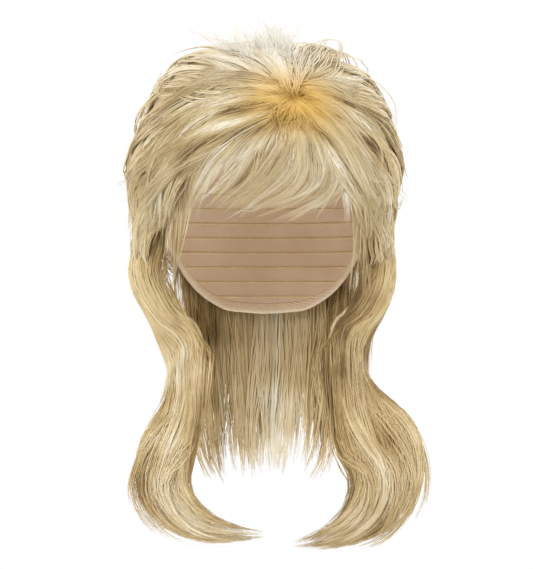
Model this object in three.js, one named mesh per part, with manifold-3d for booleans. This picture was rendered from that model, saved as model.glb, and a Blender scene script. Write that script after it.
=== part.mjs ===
// A layered shag wig: a thin elastic cap that carries a teased crown layer, a swept fringe, two temple
// layers and three long falls of hair, one down each side to the front and one down the back.
// Millimetres, +Z up, the wearer faces -Y. The origin is where the top of the head meets the cap's inside.
import * as THREE from "three";
import Module from "manifold-3d";

const wasm = await Module();
wasm.setup();

// The head that the cap fits, measured from its widest level.
const head_half_width = 78;
const head_half_length = 98;
const head_top_height = 88;
const head_nape_depth = 112;
const head_middle_y = 2;

// The cap and the clearances between the layers.
const cap_wall = 1.6;
const seat_gap = 1.2;
const layer_gap = 0.8;

// The outer form of the teased crown, measured from the head's widest level.
const hair_middle_x = -2;
const hair_half_width = 99;
const hair_front = 108;
const hair_back = 130;
const hair_top_height = 128;
const hair_low_depth = 150;
const hair_lean = 0.25;
const hair_squareness = 2.5;

// The whorl that the crown radiates from, seen from the front.
const whorl_right = 21;
const whorl_height = 82;

// Relief of the crown: lanes of hair round the whorl, in overlapping tiers. The relief fades out where the
// layer is short, near the whorl and over the forehead, and the lanes hang in points at the hem.
const crown_lanes = 18;
const crown_tiers = 4;
const lane_points = 3;
const tier_points = 2;
const lane_depth = 4;
const tier_depth = 4;
const crown_swirl = 0.35;
const relief_starts_deg = 35;
const relief_full_deg = 80;
const hem_point_deg = 8;
const hem_taper = 9;

// Loose locks that stand proud of the crown and the falls.
const lock_width = 11;
const lock_thickness = 4;
const lock_lift = 6;
const lock_swirl_deg = 5;
const tip_size = 0.4;

// The fringe and the temple layers in front of the crown.
const fringe_half_width = 90;
const fringe_thickness = 5;
const temple_half_width = 96;
const temple_thickness = 7;
const front_lock_width = 10;
const front_lift = 1;

// The long falls.
const fall_length = 262;
const fall_root_height = 28;
const fall_thickness = 10;
const back_length = 214;
const back_root_height = 10;
const back_thickness = 13;
const groove_depth = 0.42;
const lane_drift = 0.8;

const materials = {
  net: new THREE.MeshStandardMaterial({ color: 0xd8bd9c, roughness: 0.9, metalness: 0 }),
  crown: new THREE.MeshStandardMaterial({ color: 0xdcc68f, roughness: 0.45, metalness: 0 }),
  fringe: new THREE.MeshStandardMaterial({ color: 0xe4cf9c, roughness: 0.45, metalness: 0 }),
  length: new THREE.MeshStandardMaterial({ color: 0xd3bd88, roughness: 0.42, metalness: 0 }),
};

const degrees = Math.PI / 180;
const centre = new THREE.Vector3(0, head_middle_y, -head_top_height);
const crown_centre = centre.clone().setX(hair_middle_x);
const up = new THREE.Vector3(0, 0, 1);

const clamp01 = (x) => Math.min(1, Math.max(0, x));
const smooth = (x) => clamp01(x) ** 2 * (3 - 2 * clamp01(x));
const fraction = (x) => x - Math.floor(x);

// A closed mesh as a solid. Faces are lists of corner numbers and may be quads.
function solid(points, faces) {
  const triangles = faces.flatMap((f) => (f.length === 4 ? [f[0], f[1], f[2], f[0], f[2], f[3]] : f));
  const mesh = new wasm.Mesh({
    numProp: 3,
    vertProperties: new Float32Array(points.flatMap((p) => [p.x, p.y, p.z])),
    triVerts: new Uint32Array(triangles),
  });
  const made = new wasm.Manifold(mesh);
  if (made.volume() > 0) return made;
  const turned = triangles.map((_, i) => triangles[i - (i % 3) + [0, 2, 1][i % 3]]);
  mesh.triVerts = new Uint32Array(turned);
  return new wasm.Manifold(mesh);
}

// Triangles that close a ring of points, zipped between its first part, up to the split, and the rest of it.
function lid(around, split) {
  const triangles = [];
  let [a, b] = [0, around - 1];
  while (a + 1 < split || b > split) {
    const ahead = a + 1 < split && (b === split || (a + 1) / split <= (around - b) / (around - split));
    const next = ahead ? a + 1 : b - 1;
    triangles.push([a, next, b]);
    if (ahead) a = next;
    else b = next;
  }
  return triangles;
}

// Rings of equally many points, joined into a tube and closed at both ends.
function loft(rings, split) {
  const around = rings[0].length;
  const points = rings.flat();
  const faces = [];
  for (let i = 0; i + 1 < rings.length; i++) {
    for (let j = 0; j < around; j++) {
      const next = (j + 1) % around;
      faces.push([i * around + j, i * around + next, (i + 1) * around + next, (i + 1) * around + j]);
    }
  }
  const last = (rings.length - 1) * around;
  for (const [a, b, c] of lid(around, split)) faces.push([a, c, b], [last + a, last + b, last + c]);
  return solid(points, faces);
}

function meshOf(name, made, material) {
  const m = made.getMesh();
  const geometry = new THREE.BufferGeometry();
  geometry.setAttribute("position", new THREE.BufferAttribute(new Float32Array(m.vertProperties), 3));
  geometry.setIndex(new THREE.BufferAttribute(new Uint32Array(m.triVerts), 1));
  geometry.computeVertexNormals();
  const mesh = new THREE.Mesh(geometry, material);
  mesh.name = name;
  return mesh;
}

// A value from a table's column at an angle round the head: 0 is the front, 90 the ear, 180 the nape.
function edgeHeight(rows, azimuth) {
  const a = Math.abs(azimuth);
  const i = Math.max(1, rows.findIndex((row) => row.azimuth >= a));
  const [low, high] = [rows[i - 1], rows[i]];
  const share = smooth((a - low.azimuth) / (high.azimuth - low.azimuth));
  return THREE.MathUtils.lerp(low.height, high.height, share);
}

// Heights are shares of the head's top height above its widest level, and below it of the nape's depth.
const heightOf = (share) => share * (share > 0 ? head_top_height : head_nape_depth);

// Point of the head form, grown by an offset, at an azimuth and an angle from the top, both in radians.
function headPoint(azimuth, fromTop, offset) {
  const rise = (Math.cos(fromTop) > 0 ? head_top_height : head_nape_depth) + offset;
  return new THREE.Vector3(
    (head_half_width + offset) * Math.sin(fromTop) * Math.sin(azimuth),
    -(head_half_length + offset) * Math.sin(fromTop) * Math.cos(azimuth),
    rise * Math.cos(fromTop),
  ).add(centre);
}

// The whole head form as a solid, which everything that sits on the cap is cut with.
function headForm(offset, around = 32, down = 16) {
  const rings = [];
  for (let i = 1; i < down; i++) {
    const ring = [];
    for (let j = 0; j < around; j++) {
      ring.push(headPoint((j / around) * 2 * Math.PI, (i / down) * Math.PI, offset));
    }
    rings.push(ring);
  }
  const points = rings.flat();
  const faces = [];
  for (let i = 0; i + 1 < rings.length; i++) {
    for (let j = 0; j < around; j++) {
      const next = (j + 1) % around;
      faces.push([i * around + j, i * around + next, (i + 1) * around + next, (i + 1) * around + j]);
    }
  }
  points.push(headPoint(0, 0, offset), headPoint(0, Math.PI, offset));
  for (let j = 0; j < around; j++) {
    const next = (j + 1) % around;
    faces.push([next, j, points.length - 2]);
    faces.push([(rings.length - 1) * around + j, (rings.length - 1) * around + next, points.length - 1]);
  }
  return solid(points, faces);
}

// The cap's edge: hairline, temple, ear tab, cut-out over the ear, and nape.
const cap_edge = [
  { azimuth: 0, height: 0.42 },
  { azimuth: 36, height: 0.36 },
  { azimuth: 56, height: 0 },
  { azimuth: 66, height: -0.26 },
  { azimuth: 78, height: -0.28 },
  { azimuth: 92, height: -0.14 },
  { azimuth: 110, height: -0.18 },
  { azimuth: 132, height: -0.5 },
  { azimuth: 150, height: -0.62 },
  { azimuth: 180, height: -0.64 },
];

function cap() {
  const [around, down] = [32, 7];
  const points = [headPoint(0, 0, 0), headPoint(0, 0, cap_wall)];
  const faces = [];
  const index = (j, i, outer) => 2 + 2 * ((i - 1) * around + (j % around)) + outer;
  for (let i = 1; i <= down; i++) {
    for (let j = 0; j < around; j++) {
      const azimuth = (j / around) * 2 * Math.PI;
      const signed = (((j / around) * 360 + 180) % 360) - 180;
      const share = edgeHeight(cap_edge, signed);
      const end = Math.acos(share);
      for (const offset of [0, cap_wall]) points.push(headPoint(azimuth, (end * i) / down, offset));
    }
  }
  for (let j = 0; j < around; j++) {
    faces.push([0, index(j + 1, 1, 0), index(j, 1, 0)]);
    faces.push([1, index(j, 1, 1), index(j + 1, 1, 1)]);
    for (let i = 1; i < down; i++) {
      faces.push([index(j, i, 0), index(j + 1, i, 0), index(j + 1, i + 1, 0), index(j, i + 1, 0)]);
      faces.push([index(j, i, 1), index(j, i + 1, 1), index(j + 1, i + 1, 1), index(j + 1, i, 1)]);
    }
    faces.push([index(j, down, 0), index(j + 1, down, 0), index(j + 1, down, 1), index(j, down, 1)]);
  }
  return solid(points, faces);
}

// Distance from the head's middle to the crown's outer form along a direction.
function crownRadius(d) {
  const y = d.y - hair_lean * Math.max(d.z, 0);
  const depth = y < 0 ? hair_front : hair_back;
  const rise = d.z > 0 ? hair_top_height : hair_low_depth;
  const flat = Math.hypot(d.x / hair_half_width, y / depth);
  return (flat ** hair_squareness + (Math.abs(d.z) / rise) ** hair_squareness) ** (-1 / hair_squareness);
}

// The whorl's direction, and the directions down the forehead and to the left of it.
const whorl = (() => {
  const level = (1 - (whorl_height / hair_top_height) ** hair_squareness) ** (1 / hair_squareness);
  const across = whorl_right / (hair_half_width * level);
  const forward = hair_front * level * Math.sqrt(1 - across ** 2) - hair_lean * whorl_height;
  return new THREE.Vector3(whorl_right, -forward, whorl_height).normalize();
})();
const downhill = up.clone().negate().addScaledVector(whorl, whorl.z).normalize();
const leftward = downhill.clone().cross(whorl).normalize();

// A direction at an angle round the whorl (0 down the forehead, 90 to the left) and an angle away from it.
function crownDirection(turn, away) {
  const heading = downhill.clone().multiplyScalar(Math.cos(turn)).addScaledVector(leftward, Math.sin(turn));
  return whorl.clone().multiplyScalar(Math.cos(away)).addScaledVector(heading, Math.sin(away));
}

// The lower edge of the crown layer, round the hairline, over the ears and above the nape.
const crown_edge = [
  { azimuth: 0, height: 0.46 },
  { azimuth: 32, height: 0.4 },
  { azimuth: 48, height: 0.1 },
  { azimuth: 60, height: -0.2 },
  { azimuth: 100, height: -0.22 },
  { azimuth: 180, height: -0.34 },
];

// How far the crown layer reaches from the whorl at each turn: the first place that is below its edge.
function crownReach(turn) {
  const step = 1 * degrees;
  for (let away = 10 * degrees; away < Math.PI; away += step) {
    const d = crownDirection(turn, away);
    const r = crownRadius(d);
    const azimuth = Math.atan2(d.x, -d.y) / degrees;
    if (d.z * r < heightOf(edgeHeight(crown_edge, azimuth))) return away;
  }
  return Math.PI - step;
}

// Hair as ridges that swirl away from the whorl in overlapping tiers, whose lower ends stand proud.
function crownRelief(turn, share) {
  const tier = share * crown_tiers;
  const lane = (turn / (2 * Math.PI)) * crown_lanes + crown_swirl * share + 0.5 * (Math.floor(tier) % 2);
  const ridge = 1 - (2 * fraction(lane) - 1) ** 2;
  return -(lane_depth * (1 - ridge) + tier_depth * (1 - fraction(tier)));
}

function crownBlock() {
  const [around, down] = [crown_lanes * lane_points, crown_tiers * tier_points];
  const points = [whorl.clone().multiplyScalar(crownRadius(whorl)).add(crown_centre), crown_centre.clone()];
  const faces = [];
  const index = (j, i) => 2 + (i - 1) * around + (j % around);
  const turns = Array.from({ length: around }, (_, j) => (j / around) * 2 * Math.PI);
  const reaches = turns.map(crownReach);
  const opens = reaches.map((reach) =>
    smooth((reach / degrees - relief_starts_deg) / (relief_full_deg - relief_starts_deg)),
  );
  const just_before = 1 - 1e-6;
  for (let i = 1; i <= down; i++) {
    turns.forEach((turn, j) => {
      const share = i / down;
      const ridge = 1 + crownRelief(turn, just_before) / lane_depth;
      const point = i === down ? hem_point_deg * degrees * ridge : 0;
      const taper = i === down ? hem_taper : 0;
      const d = crownDirection(turn, reaches[j] * share + opens[j] * point);
      const relief = smooth(share * crown_tiers) * crownRelief(turn, share * just_before) - taper;
      points.push(d.clone().multiplyScalar(crownRadius(d) + opens[j] * relief).add(crown_centre));
    });
  }
  for (let j = 0; j < around; j++) {
    faces.push([0, index(j, 1), index(j + 1, 1)]);
    for (let i = 1; i < down; i++) {
      faces.push([index(j, i), index(j, i + 1), index(j + 1, i + 1), index(j + 1, i)]);
    }
    faces.push([index(j, down), 1, index(j + 1, down)]);
  }
  return solid(points, faces);
}

// A lock: a flattened section swept along a path and drawn out to a tip. The path, its outward direction and
// its half width and half thickness are functions of the share of the way along it.
function lock({ at, outward, wide, thick, grow = 0 }) {
  const [rings, sides] = [6, 5];
  const nudge = 1e-3;
  const sections = [];
  for (let i = 0; i < rings; i++) {
    const t = i / (rings - 1);
    const along = at(Math.min(1, t + nudge)).sub(at(Math.max(0, t - nudge))).normalize();
    const across = along.clone().cross(outward(t)).normalize();
    const proud = across.clone().cross(along).normalize();
    const end = i === 0 ? -grow : i === rings - 1 ? grow : 0;
    const middle = at(t).addScaledVector(along, end);
    const ring = [];
    for (let j = 0; j < sides; j++) {
      const turn = ((j + 0.5) / sides) * 2 * Math.PI;
      const sideways = across.clone().multiplyScalar((wide(t) + grow) * Math.cos(turn));
      ring.push(middle.clone().add(sideways).addScaledVector(proud, (thick(t) + grow) * Math.sin(turn)));
    }
    sections.push(ring);
  }
  return loft(sections, Math.ceil(sides / 2));
}

// The largest closed body, without the slivers that a cut can leave.
const largest = (made) => made.decompose().sort((a, b) => b.volume() - a.volume())[0];
const joined = (solids) => solids.reduce((all, one) => all.add(one));
const lock_belly = (t) => Math.sin(Math.PI * (0.2 + 0.62 * t)) * (1 - t ** 4);

// Locks that stand proud of the crown, in tiers: where they start and end as shares of the way from the whorl
// to the hem, the first and last turn round the whorl in degrees, and shares of the tips' lift and the width.
const crown_lock_rows = [
  { from: 0.08, to: 0.36, first: 128, last: 252, count: 4, lift: 1.5, wide: 0.7 },
  { from: 0.3, to: 0.62, first: 82, last: 305, count: 6, lift: 0.8, wide: 1 },
  { from: 0.52, to: 0.84, first: 74, last: 312, count: 7, lift: 0.9, wide: 1.05 },
  { from: 0.74, to: 1.06, first: 72, last: 318, count: 8, lift: 0.4, wide: 1.1 },
];

function crownLocks() {
  return crown_lock_rows.flatMap((row) =>
    Array.from({ length: row.count }, (_, k) => {
      const turn = THREE.MathUtils.lerp(row.first, row.last, k / (row.count - 1)) * degrees;
      const reach = crownReach(turn);
      const place = (t) => {
        const share = THREE.MathUtils.lerp(row.from, row.to, t);
        const d = crownDirection(turn + lock_swirl_deg * degrees * t, reach * share);
        const rise = row.lift * lock_lift * t ** 2 - lock_thickness * (1 - t);
        return d.multiplyScalar(crownRadius(d) + rise - 0.5 * lock_thickness).add(crown_centre);
      };
      return lock({
        at: place,
        outward: (t) => place(t).sub(crown_centre).normalize(),
        wide: (t) => Math.max(tip_size, row.wide * lock_width * lock_belly(t)),
        thick: (t) => Math.max(tip_size, lock_thickness * (1 - 0.8 * t)),
      });
    }),
  );
}

// Locks drawn in the front view and laid on the front of the hair: shares of the hair's half width for x, and
// heights as for the cap's edge. Each starts at the whorl, bends past its middle point and ends at its tip.
const fringe_rows = [
  { x0: 0.16, h0: 0.9, x1: -0.37, h1: 0.73, x2: -0.69, h2: -0.17, wide: 1.2 },
  { x0: 0.19, h0: 0.86, x1: -0.24, h1: 0.62, x2: -0.52, h2: 0.0, wide: 1.1 },
  { x0: 0.21, h0: 0.84, x1: -0.06, h1: 0.5, x2: -0.34, h2: 0.02, wide: 1.1 },
  { x0: 0.25, h0: 0.82, x1: 0.2, h1: 0.2, x2: -0.2, h2: 0.0, wide: 1 },
  { x0: 0.27, h0: 0.82, x1: 0.54, h1: 0.16, x2: 0.02, h2: -0.01, wide: 1 },
  { x0: 0.3, h0: 0.84, x1: 0.55, h1: 0.4, x2: 0.34, h2: 0.03, wide: 1 },
  { x0: 0.33, h0: 0.86, x1: 0.62, h1: 0.44, x2: 0.64, h2: -0.14, wide: 1.1 },
];
const temple_left_rows = [
  { x0: 0.08, h0: 0.94, x1: -0.62, h1: 0.82, x2: -0.84, h2: -0.14, wide: 1.2 },
  { x0: 0.1, h0: 0.92, x1: -0.5, h1: 0.76, x2: -0.75, h2: -0.22, wide: 1.1 },
];
const temple_right_rows = [
  { x0: 0.36, h0: 0.92, x1: 0.8, h1: 0.68, x2: 0.86, h2: -0.16, wide: 1.1 },
  { x0: 0.34, h0: 0.9, x1: 0.74, h1: 0.5, x2: 0.76, h2: -0.22, wide: 1 },
];

const widest_share = 0.97;

function frontPoint(x, z, halfWidth) {
  const rise = z > 0 ? hair_top_height : hair_low_depth;
  const level = (1 - (Math.abs(z) / rise) ** hair_squareness) ** (1 / hair_squareness);
  const across = Math.min(widest_share, Math.abs(x) / (halfWidth * level));
  const y = hair_lean * Math.max(z, 0) - (hair_front * level + front_lift) * Math.sqrt(1 - across ** 2);
  return new THREE.Vector3(x, y, z).add(crown_centre);
}

function frontLocks(rows, halfWidth, thickness, grow) {
  return joined(
    rows.map((row) => {
      const route = new THREE.QuadraticBezierCurve(
        new THREE.Vector2(row.x0 * hair_half_width, heightOf(row.h0)),
        new THREE.Vector2(row.x1 * hair_half_width, heightOf(row.h1)),
        new THREE.Vector2(row.x2 * hair_half_width, heightOf(row.h2)),
      );
      const place = (t) => {
        const p = route.getPoint(t);
        return frontPoint(p.x, p.y, halfWidth);
      };
      return lock({
        at: place,
        outward: (t) => place(t).sub(crown_centre).setZ(0).normalize(),
        wide: (t) => Math.max(tip_size, row.wide * front_lock_width * lock_belly(t)),
        thick: (t) => Math.max(tip_size, 0.5 * thickness * (1 - 0.7 * t)),
        grow,
      });
    }),
  );
}

// Long falls: sections down the hair. Drop is a share of the fall's length, out and half_width and bow are
// shares of the hair's half width, back is a share of the head's half length, faces is the way that the
// sheet looks (0 to the front, 90 sideways, 180 to the back) and thick is a share of its thickness.
const left_rows = [
  { drop: 0.0, out: 0.717, back: 0.05, half_width: 0.5, faces: 88, bow: 0.12, thick: 0.6 },
  { drop: 0.134, out: 0.75, back: 0.08, half_width: 0.53, faces: 86, bow: 0.14, thick: 0.9 },
  { drop: 0.248, out: 0.78, back: 0.09, half_width: 0.51, faces: 84, bow: 0.13, thick: 1 },
  { drop: 0.344, out: 0.74, back: 0.08, half_width: 0.44, faces: 80, bow: 0.11, thick: 1 },
  { drop: 0.42, out: 0.655, back: 0.08, half_width: 0.39, faces: 72, bow: 0.08, thick: 1 },
  { drop: 0.489, out: 0.565, back: 0.02, half_width: 0.31, faces: 62, bow: 0.05, thick: 1.1 },
  { drop: 0.557, out: 0.565, back: -0.09, half_width: 0.215, faces: 48, bow: 0.04, thick: 1.4 },
  { drop: 0.634, out: 0.595, back: -0.25, half_width: 0.18, faces: 32, bow: 0.03, thick: 1.6 },
  { drop: 0.71, out: 0.66, back: -0.39, half_width: 0.2, faces: 20, bow: 0.03, thick: 1.7 },
  { drop: 0.786, out: 0.72, back: -0.5, half_width: 0.2, faces: 10, bow: 0.03, thick: 1.7 },
  { drop: 0.863, out: 0.72, back: -0.59, half_width: 0.205, faces: 5, bow: 0.03, thick: 1.5 },
  { drop: 0.935, out: 0.55, back: -0.67, half_width: 0.14, faces: 3, bow: 0.02, thick: 1.2 },
  { drop: 0.968, out: 0.29, back: -0.74, half_width: 0.08, faces: 3, bow: 0.01, thick: 0.8 },
  { drop: 0.968, out: -0.03, back: -0.8, half_width: 0.012, faces: 3, bow: 0, thick: 0.15 },
];
const right_rows = [
  { drop: 0.0, out: 0.717, back: 0.05, half_width: 0.5, faces: 88, bow: 0.12, thick: 0.6 },
  { drop: 0.134, out: 0.74, back: 0.08, half_width: 0.51, faces: 84, bow: 0.13, thick: 0.9 },
  { drop: 0.248, out: 0.75, back: 0.09, half_width: 0.49, faces: 80, bow: 0.14, thick: 1 },
  { drop: 0.344, out: 0.7, back: 0.08, half_width: 0.42, faces: 76, bow: 0.12, thick: 1 },
  { drop: 0.42, out: 0.605, back: 0.08, half_width: 0.37, faces: 68, bow: 0.09, thick: 1 },
  { drop: 0.489, out: 0.575, back: 0.02, half_width: 0.31, faces: 58, bow: 0.06, thick: 1.2 },
  { drop: 0.557, out: 0.59, back: -0.09, half_width: 0.22, faces: 42, bow: 0.05, thick: 1.4 },
  { drop: 0.634, out: 0.67, back: -0.24, half_width: 0.25, faces: 25, bow: 0.05, thick: 1.6 },
  { drop: 0.71, out: 0.765, back: -0.36, half_width: 0.32, faces: 14, bow: 0.05, thick: 1.7 },
  { drop: 0.786, out: 0.83, back: -0.46, half_width: 0.315, faces: 8, bow: 0.05, thick: 1.7 },
  { drop: 0.851, out: 0.82, back: -0.55, half_width: 0.265, faces: 5, bow: 0.04, thick: 1.6 },
  { drop: 0.908, out: 0.74, back: -0.62, half_width: 0.21, faces: 3, bow: 0.03, thick: 1.4 },
  { drop: 0.95, out: 0.61, back: -0.68, half_width: 0.145, faces: 3, bow: 0.02, thick: 1.2 },
  { drop: 0.984, out: 0.42, back: -0.745, half_width: 0.08, faces: 3, bow: 0.01, thick: 0.8 },
  { drop: 1.0, out: 0.13, back: -0.81, half_width: 0.012, faces: 3, bow: 0, thick: 0.15 },
];
const back_rows = [
  { drop: 0.0, out: 0, back: 0.64, half_width: 0.7, faces: 180, bow: 0.47, thick: 0.6 },
  { drop: 0.15, out: 0, back: 0.62, half_width: 0.72, faces: 180, bow: 0.5, thick: 0.9 },
  { drop: 0.29, out: 0, back: 0.63, half_width: 0.71, faces: 180, bow: 0.47, thick: 1 },
  { drop: 0.42, out: 0, back: 0.65, half_width: 0.67, faces: 180, bow: 0.38, thick: 1 },
  { drop: 0.547, out: 0, back: 0.67, half_width: 0.62, faces: 180, bow: 0.28, thick: 1 },
  { drop: 0.673, out: 0, back: 0.71, half_width: 0.58, faces: 180, bow: 0.21, thick: 1 },
  { drop: 0.804, out: 0, back: 0.8, half_width: 0.56, faces: 180, bow: 0.15, thick: 0.9 },
  { drop: 0.92, out: 0, back: 0.91, half_width: 0.5, faces: 180, bow: 0.11, thick: 0.7 },
  { drop: 1.0, out: 0, back: 0.99, half_width: 0.38, faces: 180, bow: 0.07, thick: 0.3 },
];

// The middle line, directions and sizes of a fall at a share of the way through its rows.
function fallGuide(rows, side, length, rootHeight, thickness) {
  const curve = (make) => new THREE.CatmullRomCurve3(rows.map(make), false, "catmullrom");
  const middle = curve((r) => {
    const z = rootHeight - r.drop * length;
    return new THREE.Vector3(side * r.out * hair_half_width, r.back * head_half_length, z).add(centre);
  });
  const widths = curve((r) => new THREE.Vector3(r.half_width, r.bow, 0).multiplyScalar(hair_half_width));
  const depths = curve((r) => new THREE.Vector3(r.thick * thickness, r.faces, 0));
  return (s) => {
    const facing = depths.getPoint(s).y * degrees;
    const along = middle.getTangent(s);
    const looking = new THREE.Vector3(side * Math.sin(facing), -Math.cos(facing), 0);
    return {
      at: middle.getPoint(s),
      along,
      across: along.clone().cross(looking).normalize().multiplyScalar(-side),
      outward: looking.clone().addScaledVector(along, -looking.dot(along)).normalize(),
      halfWidth: widths.getPoint(s).x,
      bow: widths.getPoint(s).y,
      thickness: depths.getPoint(s).x,
    };
  };
}

// A point of a fall: across and rise are measured in its section, sideways and off its middle line.
const fallPoint = (g, across, rise) =>
  g.at.clone().addScaledVector(g.across, across).addScaledVector(g.outward, rise);

// A closed plane outline, walked clockwise, moved outward by an offset.
function grownOutline(outline, grow) {
  return outline.map((p, i) => {
    const from = p.clone().sub(outline.at(i - 1)).normalize();
    const to = outline[(i + 1) % outline.length].clone().sub(p).normalize();
    const along = from.clone().add(to).normalize();
    const reach = grow / Math.max(0.5, along.dot(to));
    return p.clone().add(new THREE.Vector2(-along.y, along.x).multiplyScalar(reach));
  });
}

// The section of a fall's sheet: grooved into lanes outside and plain inside.
function fallSection(g, s, lanes) {
  const row = (count, side) =>
    Array.from({ length: count }, (_, j) => {
      const u = -1 + (2 * (j + 0.5)) / count;
      const lane = ((u + 1) / 2) * lanes + lane_drift * s;
      const groove = side > 0 ? groove_depth * (2 * fraction(lane) - 1) ** 2 : 0;
      const half = g.thickness * (0.5 - groove) * Math.sqrt(1 - u ** 4);
      return new THREE.Vector2(u * g.halfWidth, g.bow * (1 - u ** 2) + side * half);
    });
  return [...row(lanes * lane_points, 1), ...row(lanes + 1, -1).reverse()];
}

function fallBody(guide, { stations, lanes }, grow) {
  const last = stations - 1;
  const rings = Array.from({ length: stations }, (_, i) => {
    const g = guide(i / last);
    const end = i === 0 ? -grow : i === last ? grow : 0;
    const section = grownOutline(fallSection(g, i / last, lanes), grow);
    return section.map((p) => fallPoint(g, p.x, p.y).addScaledVector(g.along, end));
  });
  return loft(rings, lanes * lane_points);
}

// Loose locks on a fall: u, from and to are shares across and down it, lift is how far the tip stands off in
// fall thicknesses, swing how far it drifts across in half widths, and wide its share of the locks' width.
const left_lock_rows = [
  { u: 0.8, from: 0.3, to: 0.6, lift: 0.5, swing: 0.3, wide: 0.8 },
  { u: 0.55, from: 0.62, to: 0.93, lift: 0.3, swing: 0.35, wide: 0.8 },
  { u: -0.3, from: 0.5, to: 0.86, lift: 0.3, swing: 0.1, wide: 0.8 },
  { u: 0.1, from: 0.66, to: 0.97, lift: 0.4, swing: 0.9, wide: 0.8 },
];
const right_lock_rows = [
  { u: 0.7, from: 0.3, to: 0.52, lift: 0.5, swing: 0.3, wide: 0.9 },
  { u: 0.65, from: 0.46, to: 0.66, lift: 0.7, swing: 0.35, wide: 1 },
  { u: -0.2, from: 0.44, to: 0.72, lift: 0.6, swing: 0.9, wide: 0.9 },
  { u: -0.5, from: 0.5, to: 0.8, lift: 0.3, swing: 0.1, wide: 0.8 },
  { u: 0.4, from: 0.64, to: 0.96, lift: 0.4, swing: 0.7, wide: 0.9 },
];
const back_lock_rows = [
  { u: -0.72, from: 0.4, to: 0.98, lift: 0.3, swing: 0.1, wide: 1.1 },
  { u: -0.24, from: 0.3, to: 0.8, lift: 0.5, swing: 0.1, wide: 1.2 },
  { u: 0.24, from: 0.36, to: 0.94, lift: 0.4, swing: -0.1, wide: 1.2 },
  { u: 0.72, from: 0.3, to: 0.86, lift: 0.4, swing: -0.05, wide: 1.1 },
];

const root_rise = 0.2;

function fallLocks(guide, rows, grow) {
  return rows.map((row) => {
    const share = (t) => THREE.MathUtils.lerp(row.from, row.to, t);
    const place = (t) => {
      const g = guide(share(t));
      const u = row.u + row.swing * t ** 2;
      const rise = g.bow * (1 - u ** 2) + g.thickness * (root_rise + row.lift * t ** 2);
      return fallPoint(g, u * g.halfWidth, rise);
    };
    return lock({
      at: place,
      outward: (t) => guide(share(t)).outward,
      wide: (t) => Math.max(tip_size, row.wide * lock_width * lock_belly(t)),
      thick: (t) => Math.max(tip_size, lock_thickness * (1 - 0.8 * t)),
      grow,
    });
  });
}

const on_head = headForm(cap_wall + seat_gap);
const leftGuide = fallGuide(left_rows, -1, fall_length, fall_root_height, fall_thickness);
const rightGuide = fallGuide(right_rows, 1, fall_length, fall_root_height, fall_thickness);
const backGuide = fallGuide(back_rows, 1, back_length, back_root_height, back_thickness);

function fall(guide, rows, sheet, grow) {
  return joined([fallBody(guide, sheet, grow), ...fallLocks(guide, rows, grow)]);
}

const side_sheet = { stations: 19, lanes: 4 };
const back_sheet = { stations: 11, lanes: 6 };
const fallLeft = (grow) => fall(leftGuide, left_lock_rows, side_sheet, grow);
const fallRight = (grow) => fall(rightGuide, right_lock_rows, side_sheet, grow);
const fallBack = (grow) => fall(backGuide, back_lock_rows, back_sheet, grow);

const fringe = (grow) => frontLocks(fringe_rows, fringe_half_width, fringe_thickness, grow);
const temple = (rows, grow) => frontLocks(rows, temple_half_width, temple_thickness, grow);
const templeLeft = (grow) => temple(temple_left_rows, grow);
const templeRight = (grow) => temple(temple_right_rows, grow);

// Each piece is cut clear of what it lies against: the falls and the crown of the head, the rear fall of the
// side falls, the temples of the fringe, and the crown of all of them.
const side_falls = joined([fallLeft(layer_gap), fallRight(layer_gap)]);
const front_locks = joined([fringe(layer_gap), templeLeft(layer_gap), templeRight(layer_gap)]);
const crown = joined([crownBlock(), ...crownLocks()])
  .subtract(on_head)
  .subtract(side_falls)
  .subtract(fallBack(layer_gap))
  .subtract(front_locks);

const group = new THREE.Group();
group.add(meshOf("cap", cap(), materials.net));
group.add(meshOf("crown_hair", largest(crown), materials.crown));
group.add(meshOf("fringe", fringe(0), materials.fringe));
group.add(meshOf("temple_left", largest(templeLeft(0).subtract(fringe(layer_gap))), materials.fringe));
group.add(meshOf("temple_right", largest(templeRight(0).subtract(fringe(layer_gap))), materials.fringe));
group.add(meshOf("fall_left", largest(fallLeft(0).subtract(on_head)), materials.length));
group.add(meshOf("fall_right", largest(fallRight(0).subtract(on_head)), materials.length));
group.add(meshOf("fall_back", largest(fallBack(0).subtract(on_head).subtract(side_falls)), materials.length));

export default group;
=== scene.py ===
# A layered shag wig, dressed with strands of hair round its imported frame.
# Lengths are millimetres in the frame's axes until a mesh is made, which is in metres.
import math

import bpy
import numpy as np
from mathutils import Matrix, Vector


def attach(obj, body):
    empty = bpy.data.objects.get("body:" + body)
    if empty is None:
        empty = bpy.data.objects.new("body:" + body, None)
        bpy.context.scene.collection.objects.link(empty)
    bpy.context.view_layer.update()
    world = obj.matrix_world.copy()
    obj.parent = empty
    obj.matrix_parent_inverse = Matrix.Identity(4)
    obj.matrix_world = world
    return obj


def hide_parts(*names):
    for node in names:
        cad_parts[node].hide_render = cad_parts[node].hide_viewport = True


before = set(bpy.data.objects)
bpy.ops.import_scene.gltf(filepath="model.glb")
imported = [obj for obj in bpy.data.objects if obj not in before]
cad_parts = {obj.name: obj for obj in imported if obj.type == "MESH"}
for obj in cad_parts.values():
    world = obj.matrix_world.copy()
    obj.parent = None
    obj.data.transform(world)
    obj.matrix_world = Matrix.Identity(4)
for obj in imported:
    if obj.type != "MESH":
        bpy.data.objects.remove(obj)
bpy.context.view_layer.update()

# A millimetre, in metres.
MM = 0.001

# The head that the cap fits, measured from its widest level.
HEAD_HALF_WIDTH = 78
HEAD_HALF_LENGTH = 98
HEAD_TOP = 88
HEAD_NAPE = 112
CENTRE = np.array([0.0, 2.0, -HEAD_TOP])

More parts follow.
